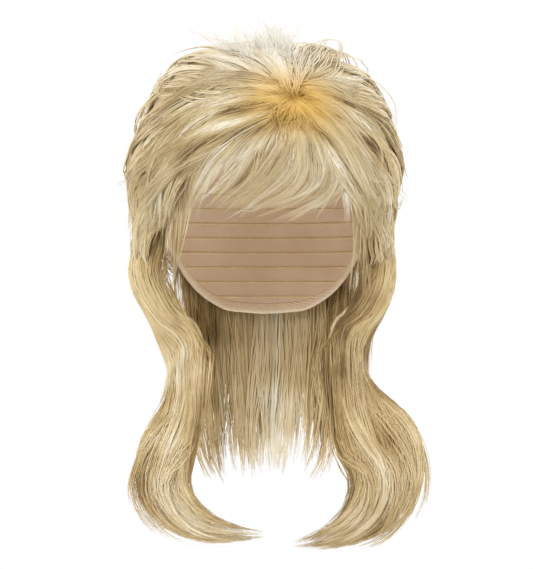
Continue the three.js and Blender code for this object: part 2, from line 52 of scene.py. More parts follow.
# The outer form of the crown.
HAIR_MIDDLE_X = -2
HAIR_HALF_WIDTH = 99
HAIR_FRONT = 108
HAIR_BACK = 130
HAIR_TOP = 128
HAIR_LOW = 150
HAIR_LEAN = 0.25
HAIR_SQUARENESS = 2.5
CROWN_CENTRE = np.array([HAIR_MIDDLE_X, CENTRE[1], CENTRE[2]])
WHORL_RIGHT = 21
WHORL_HEIGHT = 82

# Long falls.
FALL_LENGTH = 262
FALL_ROOT = 28
FALL_THICKNESS = 10
BACK_LENGTH = 214
BACK_ROOT = 10
BACK_THICKNESS = 13

UNDER_COLOUR = [
    (0.0, (154, 130, 90)),
    (0.35, (186, 163, 117)),
    (0.6, (208, 188, 142)),
    (1.0, (230, 214, 176)),
]
CROWN_COLOUR = [
    (0.0, (104, 80, 47)),
    (0.2, (152, 126, 83)),
    (0.4, (189, 165, 119)),
    (0.6, (208, 189, 146)),
    (0.8, (229, 216, 185)),
    (1.0, (247, 242, 229)),
]
LENGTH_COLOUR = [
    (0.0, (108, 82, 46)),
    (0.2, (158, 130, 82)),
    (0.4, (199, 173, 123)),
    (0.6, (220, 198, 152)),
    (0.8, (237, 221, 186)),
    (1.0, (249, 242, 222)),
]
GOLD = (228, 184, 86)
# The colour of painted glare: thin hair whitened by the bright light and backdrop.
GLARE_COLOUR = (228, 226, 220)

# Painted shade in the gaps between locks and painted highlights on the crests of locks on the front of the
# hair: place across and height, the way that each runs, its half length and half width, and how dark it is,
# below 0 where it is paler.
SHADE_PLACES = [
    (-18, -15, (-0.97, -0.24), 18, 3.6, 1.3),
    (-21, -33, (-0.95, -0.32), 32, 4.5, 1.2),
    (-57, -50, (-0.35, -0.94), 9, 4, 1.2),
    (-60, -76, (-0.2, -0.98), 17, 5, 1.2),
    (-24, 8, (-0.97, -0.2), 14, 2.2, 0.9),
    (47, -20, (0.96, -0.3), 14, 3, 1.2),
    (42, -36, (0.65, -0.76), 13, 2.6, 1.3),
    (54, -8, (0.9, -0.42), 12, 2.2, 0.9),
    (10, -25, (-0.9, -0.45), 16, 5, 0.7),
    (72, -38, (0.85, -0.5), 12, 3, 0.8),
    (-30, -8, (-0.97, -0.15), 22, 4, -0.8),
    (-20, -24, (-0.95, -0.3), 26, 4, -0.6),
    (-52, -30, (-0.93, -0.35), 24, 6, -0.4),
    (-44, 12, (-0.97, 0.1), 22, 7, -0.45),
    (-14, -47, (-0.85, -0.5), 24, 4.5, -0.5),
    (-40, -66, (-0.75, -0.65), 20, 6, -0.4),
    (60, -20, (0.9, -0.45), 20, 8, -0.55),
    (52, -58, (0.4, -0.9), 24, 5, -0.6),
]


def smooth(x):
    x = np.clip(x, 0, 1)
    return x * x * (3 - 2 * x)


def unit(v):
    return v / np.maximum(np.linalg.norm(v, axis=-1, keepdims=True), 1e-9)


def lerp(a, b, t):
    return a + (b - a) * t


def full_turn(count):
    return np.arange(count) / count * 2 * math.pi


def linear(rgb):
    """An sRGB colour, 0 to 255, as the linear RGBA that a socket holds."""
    c = np.array(rgb) / 255
    out = np.where(c <= 0.04045, c / 12.92, ((c + 0.055) / 1.055) ** 2.4)
    return (*map(float, out), 1.0)


# Meshes


def add_object(name, data):
    made = bpy.data.objects.new(name, data)
    bpy.context.scene.collection.objects.link(made)
    return made


def make_mesh(name, points, faces, sizes, attributes=None, uvs=None):
    """A piece from points, its faces' corners in one flat array, and each face's count of corners."""
    mesh = bpy.data.meshes.new(name)
    mesh.vertices.add(len(points))
    mesh.vertices.foreach_set("co", (np.asarray(points, dtype=np.float32) * MM).ravel())
    mesh.loops.add(len(faces))
    mesh.loops.foreach_set("vertex_index", np.asarray(faces, dtype=np.int32))
    mesh.polygons.add(len(sizes))
    starts = np.concatenate([[0], np.cumsum(sizes)[:-1]]).astype(np.int32)
    mesh.polygons.foreach_set("loop_start", starts)
    mesh.polygons.foreach_set("use_smooth", np.ones(len(sizes), dtype=bool))
    mesh.update(calc_edges=True)
    for key, values in (attributes or {}).items():
        layer = mesh.attributes.new(key, "FLOAT", "POINT")
        layer.data.foreach_set("value", np.asarray(values, dtype=np.float32).ravel())
    for key, values in (uvs or {}).items():
        layer = mesh.uv_layers.new(name=key)
        layer.data.foreach_set("uv", np.asarray(values, dtype=np.float32).ravel())
    mesh.validate()
    return add_object(name, mesh)


# The crown's form


def form_level(share):
    """The crown's width at a share of its height, as a share of the widest."""
    return (1 - share**HAIR_SQUARENESS) ** (1 / HAIR_SQUARENESS)


def crown_radius(d):
    """Distance from the crown's middle to its outer form along unit directions."""
    x, z = d[..., 0], d[..., 2]
    y = d[..., 1] - HAIR_LEAN * np.maximum(z, 0)
    depth = np.where(y < 0, HAIR_FRONT, HAIR_BACK)
    rise = np.where(z > 0, HAIR_TOP, HAIR_LOW)
    flat = np.hypot(x / HAIR_HALF_WIDTH, y / depth)
    return (flat**HAIR_SQUARENESS + (np.abs(z) / rise) ** HAIR_SQUARENESS) ** (-1 / HAIR_SQUARENESS)


def whorl_direction():
    level = form_level(WHORL_HEIGHT / HAIR_TOP)
    across = WHORL_RIGHT / (HAIR_HALF_WIDTH * level)
    forward = HAIR_FRONT * level * math.sqrt(1 - across**2) - HAIR_LEAN * WHORL_HEIGHT
    return unit(np.array([WHORL_RIGHT, -forward, WHORL_HEIGHT], dtype=float))


WHORL = whorl_direction()
DOWNHILL = unit(np.array([0, 0, -1.0]) + WHORL * WHORL[2])
LEFTWARD = unit(np.cross(DOWNHILL, WHORL))
WHORL_PLACE = WHORL * crown_radius(WHORL) + CROWN_CENTRE


def crown_direction(turn, away):
    """Directions at an angle round the whorl (0 down the forehead, 90 to the left) and away from it."""
    turn, away = np.asarray(turn)[..., None], np.asarray(away)[..., None]
    heading = DOWNHILL * np.cos(turn) + LEFTWARD * np.sin(turn)
    return WHORL * np.cos(away) + heading * np.sin(away)


# Edges: the angle round the head, 0 at the face, and the height as a share of the head's top or nape.
CROWN_EDGE = [(0, 0.46), (32, 0.4), (48, 0.1), (60, -0.2), (100, -0.22), (180, -0.34)]
CAP_EDGE = [
    (0, 0.42),
    (36, 0.36),
    (56, 0.0),
    (66, -0.26),
    (78, -0.28),
    (92, -0.14),
    (110, -0.18),
    (132, -0.5),
    (150, -0.62),
    (180, -0.64),
]


def head_rise(z):
    """The head's height above its widest level, or its depth below it."""
    return np.where(z > 0, HEAD_TOP, HEAD_NAPE)


def edge_share(edge, azimuth):
    angles, heights = np.array(edge, dtype=float).T
    a = np.abs(azimuth)
    i = np.clip(np.searchsorted(angles, a), 1, len(angles) - 1)
    return lerp(heights[i - 1], heights[i], smooth((a - angles[i - 1]) / (angles[i] - angles[i - 1])))


def edge_height(edge, azimuth):
    share = edge_share(edge, azimuth)
    return share * head_rise(share)


def head_point(azimuth, from_top, offset):
    """Point of the head form, grown by an offset, at an azimuth and an angle from the top, in radians."""
    rise = head_rise(np.cos(from_top)) + offset
    x = (HEAD_HALF_WIDTH + offset) * np.sin(from_top) * np.sin(azimuth)
    y = -(HEAD_HALF_LENGTH + offset) * np.sin(from_top) * np.cos(azimuth)
    return np.stack(np.broadcast_arrays(x, y, rise * np.cos(from_top)), axis=-1) + CENTRE


REACH_TURNS = np.radians(np.arange(361))


def measure_reach():
    """How far the crown layer reaches from the whorl at each whole degree of turn."""
    reach = np.full(REACH_TURNS.shape, math.pi)
    for away in np.radians(np.arange(179, 9, -1.0)):
        d = crown_direction(REACH_TURNS, np.full(REACH_TURNS.shape, away))
        azimuth = np.degrees(np.arctan2(d[..., 0], -d[..., 1]))
        below = d[..., 2] * crown_radius(d) < edge_height(CROWN_EDGE, azimuth)
        reach = np.where(below, away, reach)
    return reach


REACH = measure_reach()


def crown_reach(turn):
    return np.interp(np.mod(turn, 2 * math.pi), REACH_TURNS, REACH)


def crown_point(turn, away, lift):
    """Points a height above the crown's form, fuller at the upper sides and drawn in at the lower ones."""
    d = crown_direction(turn, away)
    points = d * (crown_radius(d) + lift)[..., None] + CROWN_CENTRE
    x, z = points[..., 0], points[..., 2]
    aside = np.abs(x - HAIR_MIDDLE_X)
    fuller = 4 * smooth((z + 8) / 44) * smooth((aside - 25) / 40)
    fuller = fuller + 4 * smooth((x - 50) / 30) * smooth((z + 78) / 36)
    fuller = fuller + 4 * smooth((x - 15) / 25) * smooth((z - 14) / 15)
    fuller = fuller - 4.5 * smooth((aside - 55) / 30) * smooth((-66 - z) / 26)
    return points + d * fuller[..., None]


# Strands

SIDES = 3
CLUMP_STRANDS = 10
HEAD_GAP = 2.6


def sample_along(paths, shares):
    """Points of each path at shares of its length. Paths are (N, K, c) and shares (N, M)."""
    n, k = paths.shape[:2]
    at = np.clip(shares, 0, 1) * (k - 1)
    low = np.minimum(at.astype(int), k - 2)
    rows = np.arange(n)[:, None]
    t = (at - low)[..., None]
    return paths[rows, low] * (1 - t) + paths[rows, low + 1] * t


def catmull_rom(values, s):
    """Smooth curve through evenly spaced values, at shares s of the way along."""
    padded = np.concatenate([[2 * values[0] - values[1]], values, [2 * values[-1] - values[-2]]])
    at = np.clip(s, 0, 1) * (len(values) - 1)
    i = np.minimum(at.astype(int), len(values) - 2)
    t = (at - i)[..., None]
    p0, p1, p2, p3 = (padded[i + k] for k in range(4))
    square = 2 * p0 - 5 * p1 + 4 * p2 - p3
    cube = 3 * p1 - p0 - 3 * p2 + p3
    return 0.5 * (2 * p1 + (p2 - p0) * t + square * t**2 + cube * t**3)


class Locks:
    """Clumps of hair: their middle lines, outward directions, half widths, thicknesses and looks."""

    def __init__(self, paths, outward, wide, thick, tone, frost=0.0):
        self.paths = paths
        count, steps = paths.shape[:2]
        self.outward = outward
        self.wide = np.broadcast_to(wide, (count, steps))
        self.thick = np.broadcast_to(thick, (count, steps))
        self.tone = np.broadcast_to(tone, (count,))
        self.frost = np.broadcast_to(frost, (count,))

    @staticmethod
    def joined(groups):
        fields = ("paths", "outward", "wide", "thick", "tone", "frost")
        return Locks(*(np.concatenate([getattr(g, f) for g in groups]) for f in fields))


def front_shade(points):
    """Painted shade at points on the front of the crown and the fringe: how much darker, or below 0 paler,
    hair is.
    """
    shade = np.zeros(points.shape[:-1])
    for x, z, run, half_length, half_width, depth in SHADE_PLACES:
        across, rise = points[..., 0] - x, points[..., 2] - z
        along = across * run[0] + rise * run[1]
        aside = across * run[1] - rise * run[0]
        shade += depth * np.exp(-((along / half_length) ** 2) - (aside / half_width) ** 2)
    return shade * smooth((-points[..., 1] - 30) / 20)


def painted_top_light(points):
    """Painted light: paler hair on top of the crown, where the light falls, from 0 to 1."""
    x, y, z = np.moveaxis(points, -1, 0)
    height = smooth((z + 16) / 46) * (1 - 0.7 * smooth((y - 10) / 60))
    return height * np.exp(-(((x - 4) / 76) ** 2))


def clear_of_head(points, gap):
    """Points moved out of the head form, grown by a gap, along lines from its middle."""
    away = points - CENTRE
    rise = head_rise(away[..., 2]) + gap
    share = np.hypot(away[..., 0] / (HEAD_HALF_WIDTH + gap), away[..., 1] / (HEAD_HALF_LENGTH + gap))
    share = np.hypot(share, away[..., 2] / rise)
    return CENTRE + away / np.clip(share, 0.2, 1)[..., None]


def grow_strands(
    locks, each, rings, radius, rng, stray=0.05, uneven=0.35, wave=0.06, gather=0.6, grain=1.0
):
    """Strands that cover each lock's domed face and gather at its tip: middle lines, frames and looks."""
    count = len(locks.paths)
    n = count * each
    lock = np.repeat(np.arange(count), each)
    clumps = math.ceil(each / CLUMP_STRANDS)
    place = np.tile(np.arange(each) % clumps, count)
    group = lock * clumps + place
    groups = count * clumps
    ends = (1 - uneven * rng.random(groups) ** 2)[group] * rng.uniform(1 - 0.4 * uneven, 1.0, n)
    starts = 0.12 * rng.random(n)
    shares = starts[:, None] + (ends - starts)[:, None] * np.linspace(0, 1, rings)
    paths = sample_along(locks.paths[lock], shares)
    outward = sample_along(locks.outward[lock], shares)
    wide = sample_along(locks.wide[lock][..., None], shares)[..., 0]
    thick = sample_along(locks.thick[lock][..., None], shares)[..., 0]
    along = unit(np.gradient(paths, axis=1))
    side = unit(np.cross(along, outward))
    proud = np.cross(side, along)

    centre = ((2 * place + 1) / clumps - 1) * 0.85 + rng.normal(0, 0.1, groups)[group]
    gathered = 1 - gather * smooth((shares / ends[:, None] - 0.3) / 0.7)
    u = centre[:, None] + (rng.uniform(-1.25, 1.25, n) / clumps)[:, None] * gathered
    v = 1 - u**2 - (0.7 * rng.random(n) ** 2)[:, None]
    for turns, size, total, index in ((0.9, 2.2, groups, group), (1.7, 1.0, n, slice(None))):
        rate = turns * rng.uniform(0.5, 1.5, total)[index][:, None]
        phase = 2 * math.pi * rng.random(total)[index][:, None]
        sway = 2 * math.pi * rate * shares + phase
        u = u + size * wave * np.sin(sway)
        v = v + 0.5 * size * wave * np.cos(sway)
    loose = (rng.random(n) < stray)[:, None]
    u = u + loose * rng.normal(0, 0.8, (n, 1)) * shares**2
    v = v + loose * np.abs(rng.normal(0, 1.2, (n, 1))) * shares**2
    middle = paths + side * (u * wide)[..., None] + proud * (v * thick)[..., None]
    middle = clear_of_head(middle, HEAD_GAP)
    ring = np.linspace(0, 1, rings)
    size = radius * rng.uniform(0.75, 1.2, n)[:, None]
    size = size * np.minimum(1, 0.5 + 3 * ring) * (1 - 0.85 * ring**2.5)
    tone = locks.tone[lock] + grain * (rng.normal(0, 0.07, groups)[group] + rng.normal(0, 0.06, n))
    # Painted shade and highlights of the front's places, taken more by some strands than others, and painted
    # light and glare on top.
    shade_share = (1.7 * rng.random(n) ** 1.5)[:, None]
    tone = tone[:, None] - shade_share * front_shade(middle) + 0.32 * painted_top_light(middle)
    frost = locks.frost[lock][:, None] + 0.26 * painted_top_light(middle)
    looks = {"tone": tone, "along": shares, "depth": v, "frost": np.clip(frost, 0, 1)}
    return middle, side, proud, size, looks


def strands_piece(name, grown):
    """One mesh of closed, tapered, three-sided strands, each in its own cell of the bake's layout."""
    middle, side, proud, size, looks = grown
    n, rings = middle.shape[:2]
    angles = math.pi / 2 + np.arange(SIDES) * 2 * math.pi / SIDES
    cross = np.cos(angles)[:, None] * side[:, :, None] + np.sin(angles)[:, None] * proud[:, :, None]
    points = middle[:, :, None] + size[..., None, None] * cross
    base = (np.arange(n) * rings * SIDES)[:, None, None, None]
    k = np.arange(rings - 1)[None, :, None, None]
    j = np.arange(SIDES)[None, None, :, None]
    step = np.array([[0, 0], [0, 1], [1, 1], [1, 0]])
    quads = base + (k + step[:, 0]) * SIDES + (j + step[:, 1]) % SIDES
    roots = base[..., 0, 0] + np.array([[2, 1, 0]])
    tips = base[..., 0, 0] + (rings - 1) * SIDES + np.array([[0, 1, 2]])
    faces = np.concatenate([quads.ravel(), roots.ravel(), tips.ravel()])
    sizes = np.concatenate([np.full(n * (rings - 1) * SIDES, 4), np.full(2 * n, 3)])

    columns = math.ceil(math.sqrt(n * 6))
    rows = math.ceil(n / columns)
    cell = np.array([1 / columns, 1 / rows])
    corner = np.stack([np.arange(n) % columns, np.arange(n) // columns], axis=-1) * cell
    across, down = (j + step[:, 1]) / SIDES, (k + step[:, 0]) / (rings - 1)
    inside = 0.12 + 0.76 * np.stack(np.broadcast_arrays(across, down), axis=-1)
    quad_uv = corner[:, None, None, None] + inside * cell
    end_uv = np.array([[0.1, 0.02], [0.9, 0.02], [0.5, 0.08]])
    root_uv = corner[:, None] + end_uv * cell
    tip_uv = corner[:, None] + (np.array([0, 0.9]) + end_uv) * cell
    uv = np.concatenate([quad_uv.reshape(-1, 2), root_uv.reshape(-1, 2), tip_uv.reshape(-1, 2)])
    attributes = {key: np.repeat(value.ravel(), SIDES) for key, value in looks.items()}
    piece = make_mesh(name, points.reshape(-1, 3), faces, sizes, attributes, {"OFBake": uv})
    crease_undersides(piece.data)
    return piece


def crease_undersides(mesh):
    """Sharp edges beside each strand's inner face, so that its two outer faces shade as one soft ridge."""
    ends = np.empty(2 * len(mesh.edges), dtype=np.int32)
    mesh.edges.foreach_get("vertices", ends)
    low, high = np.sort(ends.reshape(-1, 2), axis=1).T
    creased = (high - low == SIDES) & (low % SIDES > 0)
    layer = mesh.attributes.new("sharp_edge", "BOOLEAN", "EDGE")
    layer.data.foreach_set("value", creased)


def grid_piece(name, outer, inner, looks, wrap):
    """A closed shell between an outer and an inner grid of points, (rows, columns, 3)."""
    rows, columns = outer.shape[:2]
    points = np.concatenate([outer.reshape(-1, 3), inner.reshape(-1, 3)])
    last = columns if wrap else columns - 1
    i, j = np.meshgrid(np.arange(rows - 1), np.arange(last), indexing="ij")
    after = (j + 1) % columns
    here, below = i * columns, (i + 1) * columns
    quads = np.stack([here + j, here + after, below + after, below + j], axis=-1).reshape(-1, 4)
    shift = rows * columns
    j = np.arange(last)
    after = (j + 1) % columns
    end = (rows - 1) * columns
    rims = [(after, j), (end + j, end + after)]
    if not wrap:
        i = np.arange(rows - 1) * columns
        rims += [(i, i + columns), (i + 2 * columns - 1, i + columns - 1)]
    walls = [np.stack([a, b, b + shift, a + shift], axis=-1) for a, b in rims]
    faces = np.concatenate([quads, quads[:, ::-1] + shift, *walls])
    down, across = np.meshgrid(np.linspace(0, 1, rows), np.linspace(0, 1, columns), indexing="ij")
    flow = np.tile(np.stack([across, down], axis=-1).reshape(-1, 2), (2, 1))
    half = np.where(faces < shift, 0.0, 0.5)
    flow_uv = flow[faces]
    step = 1 / columns
    if wrap:
        across = flow_uv[..., 0]
        seam = across.max(axis=1) - across.min(axis=1) > 0.5
        flow_uv[..., 0] = np.where(seam[:, None] & (across < 0.5), 1.0 + step, across)
    across = 0.01 + half + 0.47 * flow_uv[..., 0] / (1 + step)
    bake_uv = np.stack([across, 0.01 + 0.98 * flow_uv[..., 1]], axis=-1)
    attributes = {key: np.concatenate([value.ravel()] * 2) for key, value in looks.items()}
    sizes = np.full(len(faces), 4)
    uvs = {"OFBake": bake_uv.reshape(-1, 2), "Flow": flow_uv.reshape(-1, 2)}
    return make_mesh(name, points, faces.ravel(), sizes, attributes, uvs)


# Materials


def ramp(tree, value, stops):
    """The colour between the stops that a value from 0 to 1 picks."""
    node = tree.nodes.new("ShaderNodeValToRGB")
    while len(node.color_ramp.elements) < len(stops):
        node.color_ramp.elements.new(0.5)
    for element, (place, colour) in zip(node.color_ramp.elements, stops):
        element.position = place
        element.color = linear(colour)
    tree.links.new(value, node.inputs["Fac"])
    return node.outputs["Color"]


def noise(tree, place, scale, detail=2.0, roughness=0.5):
    node = tree.nodes.new("ShaderNodeTexNoise")
    for key, value in (("Scale", scale), ("Detail", detail), ("Roughness", roughness)):
        node.inputs[key].default_value = value
    tree.links.new(place, node.inputs["Vector"])
    return node.outputs["Fac"]


def bump(tree, shader, height, strength, distance):
    node = tree.nodes.new("ShaderNodeBump")
    node.inputs["Strength"].default_value = strength
    node.inputs["Distance"].default_value = distance
    tree.links.new(height, node.inputs["Height"])
    tree.links.new(node.outputs["Normal"], shader.inputs["Normal"])


def flow_map(tree):
    node = tree.nodes.new("ShaderNodeUVMap")
    node.uv_map = "Flow"
    return node.outputs["UV"]


def object_place(tree):
    return tree.nodes.new("ShaderNodeTexCoord").outputs["Object"]


def math_node(tree, operation, a, b=None, c=None, clamp=False):
    node = tree.nodes.new("ShaderNodeMath")
    node.operation = operation
    node.use_clamp = clamp
    for socket, value in zip(node.inputs, (a, b, c)):
        if value is None:
            continue
        if isinstance(value, (int, float)):
            socket.default_value = value
        else:
            tree.links.new(value, socket)
    return node.outputs[0]


def attribute(tree, name):
    node = tree.nodes.new("ShaderNodeAttribute")
    node.attribute_name = name
    return node.outputs["Fac"]


def new_material(name, roughness, specular):
    material = bpy.data.materials.new(name)
    material.use_nodes = True
    shader = material.node_tree.nodes["Principled BSDF"]
    shader.inputs["Roughness"].default_value = roughness
    shader.inputs["Specular IOR Level"].default_value = specular
    return material, material.node_tree, shader


def mix_colour(tree, share, a, b):
    node = tree.nodes.new("ShaderNodeMix")
    node.data_type = "RGBA"
    tree.links.new(share, node.inputs["Factor"])
    colours = [s for s in node.inputs if s.type == "RGBA"]
    for socket, value in zip(colours, (a, b)):
        if isinstance(value, tuple):
            socket.default_value = value
        else:
            tree.links.new(value, socket)
    return next(s for s in node.outputs if s.type == "RGBA")


def gilded(tree, colour, inner, outer, share):
    """A colour turned golden at the whorl, by a share that fades out between two distances in metres."""
    distance = tree.nodes.new("ShaderNodeVectorMath")
    distance.operation = "DISTANCE"
    tree.links.new(object_place(tree), distance.inputs[0])
    distance.inputs[1].default_value = tuple(WHORL_PLACE * MM)
    fade = tree.nodes.new("ShaderNodeMapRange")
    fade.interpolation_type = "SMOOTHSTEP"
    tree.links.new(distance.outputs["Value"], fade.inputs["Value"])
    fade.inputs["From Min"].default_value = outer
    fade.inputs["From Max"].default_value = inner
    golden = math_node(tree, "MULTIPLY", fade.outputs["Result"], share)
    return mix_colour(tree, golden, colour, linear(GOLD))


def fibre_material(name, stops, gold_share, brightness, patchy):
    """Hair paler with its tone and towards its tip, in soft patches, darker inside its lock by painted shade
    and whiter by painted glare.
    """
    material, tree, shader = new_material(name, 0.48, 0.32)
    value = brightness
    # The depth term is painted shade: strands deeper in a lock are darker.
    for key, weight in (("tone", 0.55), ("depth", 0.12), ("along", 0.12)):
        value = math_node(tree, "MULTIPLY_ADD", attribute(tree, key), weight, value)
    patch = math_node(tree, "SUBTRACT", noise(tree, object_place(tree), 26), 0.5)
    value = math_node(tree, "MULTIPLY_ADD", patch, patchy, value, clamp=True)
    tinted = gilded(tree, ramp(tree, value, stops), 0.006, 0.05, gold_share)
    glared = mix_colour(tree, attribute(tree, "frost"), tinted, linear(GLARE_COLOUR))
    tree.links.new(glared, shader.inputs["Base Color"])
    return material


def under_material(name):
    """The hair deep inside, coloured darker as painted shade, with fine streaks along its flow."""
    material, tree, shader = new_material(name, 0.6, 0.25)
    scale = tree.nodes.new("ShaderNodeMapping")
    scale.inputs["Scale"].default_value = (190, 5, 1)
    tree.links.new(flow_map(tree), scale.inputs["Vector"])
    streaks = noise(tree, scale.outputs["Vector"], 1, 6, 0.78)
    contrast = math_node(tree, "MULTIPLY_ADD", streaks, 2.0, -0.5)
    value = math_node(tree, "MULTIPLY_ADD", attribute(tree, "tone"), 0.5, contrast, clamp=True)
    tinted = gilded(tree, ramp(tree, value, UNDER_COLOUR), 0.01, 0.05, 0.9)
    tree.links.new(tinted, shader.inputs["Base Color"])
    bump(tree, shader, streaks, 0.6, 0.0006)
    return material


def net_threads(tree):
    """1 on the threads of a diamond net laid along the cap, and 0 in its holes."""
    split = tree.nodes.new("ShaderNodeSeparateXYZ")
    tree.links.new(flow_map(tree), split.inputs["Vector"])
    around = math_node(tree, "MULTIPLY", split.outputs["X"], 300 * math.pi)
    threads = []
    for slant in (72 * math.pi, -72 * math.pi):
        turn = math_node(tree, "MULTIPLY_ADD", split.outputs["Y"], slant, around)
        threads.append(math_node(tree, "ABSOLUTE", math_node(tree, "SINE", turn)))
    return math_node(tree, "LESS_THAN", math_node(tree, "MINIMUM", *threads), 0.3)


def sewn_threads(tree, place, scale):
    """1 on fine crossing threads of a sewn band, and 0 between them."""
    cells = tree.nodes.new("ShaderNodeTexVoronoi")
    cells.feature = "DISTANCE_TO_EDGE"
    cells.inputs["Scale"].default_value = scale
    tree.links.new(place, cells.inputs["Vector"])
    return math_node(tree, "LESS_THAN", cells.outputs["Distance"], 0.14)


def textile_material(name, low, high, roughness, scale=None, ribs=None):
    """A knitted or sewn cloth: lighter threads over the ground, some wear, and a bump of threads or ribs."""
    material, tree, shader = new_material(name, roughness, 0.2)
    place = object_place(tree)
    thread = sewn_threads(tree, place, scale) if scale else net_threads(tree)
    paler = math_node(tree, "MULTIPLY", thread, 0.4)
    shade = math_node(tree, "MULTIPLY_ADD", noise(tree, place, 30), 0.6, paler, clamp=True)
    tree.links.new(ramp(tree, shade, [(0.15, low), (0.8, high)]), shader.inputs["Base Color"])
    height = thread
    if ribs:
        wave = tree.nodes.new("ShaderNodeTexWave")
        wave.bands_direction = ribs
        wave.inputs["Scale"].default_value = 160
        tree.links.new(place, wave.inputs["Vector"])
        height = wave.outputs["Fac"]
    bump(tree, shader, height, 0.5, 0.0004)
    return material


def dress(piece, material, node):
    piece.data.materials.append(material)
    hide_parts(node)
    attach(piece, "root")


# The cap: an elastic net with rows of sewn weft inside and a hem band

CAP_WALL = 1.6
WEFT_STEP = 11
HEM_WIDTH = 7
# The hem's section: how far each corner is off the head form, and how far above the cap's edge.
HEM_SECTION = [
    (-0.5, 0.4),
    (-0.8, 1.5),
    (-0.8, HEM_WIDTH - 1),
    (-0.4, HEM_WIDTH),
    (2.1, HEM_WIDTH),
    (2.1, 0.4),
    (0.8, -0.6),
]
# The radius that turns a distance down the cap into an angle, and a weft's least turn from the face and its
# half width.
CAP_RADIUS = 95
WEFT_START = 42.0
WEFT_HALF_WIDTH = 0.9


def cap_end(turn):
    """The angle from the top to the cap's edge, with its corners eased."""
    nearby = np.radians(np.linspace(-9, 9, 13))
    signed = (np.degrees(np.asarray(turn)[..., None] + nearby) + 180) % 360 - 180
    return np.arccos(edge_share(CAP_EDGE, signed).mean(axis=-1))


def cap_point(turn, offset, above_edge):
    """Points near the cap's edge, a distance above it, all the way round."""
    end = cap_end(turn)
    return head_point(turn, end - above_edge / CAP_RADIUS, offset)


def band_piece(name, corners, closed):
    """A closed strip whose section's corners are given all along it, (steps, corners, 3)."""
    steps, sides = corners.shape[:2]
    last = steps if closed else steps - 1
    i, j = np.meshgrid(np.arange(last), np.arange(sides), indexing="ij")
    here, after, turned = i * sides, (i + 1) % steps * sides, (j + 1) % sides
    faces = np.stack([here + j, after + j, after + turned, here + turned], axis=-1).reshape(-1, 4)
    sizes = np.full(len(faces), 4)
    cells = np.stack([i, j], axis=-1).reshape(-1, 1, 2) + np.array([[0, 0], [1, 0], [1, 1], [0, 1]])
    uv = (cells / np.array([last, sides])).reshape(-1, 2)
    faces = faces.ravel()
    if not closed:
        ends = np.concatenate([np.arange(sides), (steps - 1) * sides + np.arange(sides)[::-1]])
        faces = np.concatenate([faces, ends])
        sizes = np.concatenate([sizes, [sides, sides]])
        uv = np.concatenate([uv, np.zeros((2 * sides, 2))])
    return make_mesh(name, corners.reshape(-1, 3), faces, sizes, uvs={"OFBake": uv})


def cap(net, weft, hem):
    around, down = 96, 20
    turn, share = np.meshgrid(full_turn(around), np.linspace(0.004, 1, down))
    end = cap_end(turn)
    outer = head_point(turn, end * share, CAP_WALL)
    inner = head_point(turn, end * share, 0)
    piece = grid_piece("cap_net", outer, inner, {}, wrap=True)
    dress(piece, net, "cap")

    turn = full_turn(144)
    corners = np.stack([cap_point(turn, offset, above) for offset, above in HEM_SECTION], axis=1)
    dress(band_piece("cap_hem", corners, closed=True), hem, "cap")

    angles = np.linspace(-180, 180, 721)
    heights = edge_height(CAP_EDGE, angles)
    for k, level in enumerate(np.arange(-60, 60, WEFT_STEP)):
        inside = np.abs(angles[heights < level - 5])
        start = max(float(inside.min()), WEFT_START)
        turn = np.radians(np.linspace(start, 360 - start, 90))
        from_top = math.acos(level / (HEAD_TOP if level > 0 else HEAD_NAPE))
        half = WEFT_HALF_WIDTH / CAP_RADIUS
        section = ((0.3, -half), (-0.7, -half * 0.8), (-0.7, half * 0.8), (0.3, half))
        corners = np.stack([head_point(turn, from_top + tilt, offset) for offset, tilt in section], axis=1)
        dress(band_piece(f"cap_weft_{k}", corners, closed=False), weft, "cap")


# The crown's hair

UNDER_LANES = 26
UNDER_DEPTH = 4.6
UNDER_GAP = 3.6
# The crown's mean radius, the places tried for a lock's root, and how far locks turn in below the hem for
# each radian.
MEAN_RADIUS = 105
CANDIDATES = 16
HEM_TURN = 44


def crown_under(material):
    """The dense hair below the surface: lanes in tiers, closed against the cap."""
    around, down = 160, 30
    turn, share = np.meshgrid(full_turn(around), np.linspace(0.012, 1, down))
    reach = crown_reach(turn)
    open_share = smooth((np.degrees(reach) - 35) / 45)
    lane = turn / (2 * math.pi) * UNDER_LANES + 0.5 * share
    ridge = 1 - (2 * (lane % 1) - 1) ** 2
    jag = np.radians(8) * ridge * open_share * smooth((share - 0.8) / 0.2)
    away = reach * share + jag - np.radians(3) * share
    relief = open_share * (1.6 * ridge - 1.6)
    taper = 10 * smooth((share - 0.9) / 0.1) * open_share
    outer = crown_point(turn, away, -UNDER_DEPTH + relief - taper)
    d = unit(outer - CENTRE)
    rise = head_rise(d[..., 2]) + UNDER_GAP
    size = np.array([HEAD_HALF_WIDTH + UNDER_GAP, HEAD_HALF_LENGTH + UNDER_GAP])
    radius = 1 / np.sqrt((d[..., 0] / size[0]) ** 2 + (d[..., 1] / size[1]) ** 2 + (d[..., 2] / rise) ** 2)
    low = np.minimum(radius, np.linalg.norm(outer - CENTRE, axis=-1) - 1.5)
    inner = d * low[..., None] + CENTRE
    # Painted shade in the troughs between lanes, and the painted shade and highlights of the front's places.
    tone = 0.25 * ridge - 0.12 + 0.1 * np.sin(5 * turn) - 0.6 * front_shade(outer)
    piece = grid_piece("crown_under", outer, inner, {"tone": tone}, wrap=True)
    dress(piece, material, "crown_hair")


LOCK_STEPS = 22
T = np.linspace(0, 1, LOCK_STEPS)


def belly(t, root=0.45, tip=0.5):
    """Width along a lock: narrow at the root, widest past the middle, drawn in to the tip."""
    return (root + (1 - root) * smooth(t / 0.45)) * (1 - (1 - tip) * smooth((t - 0.45) / 0.55))


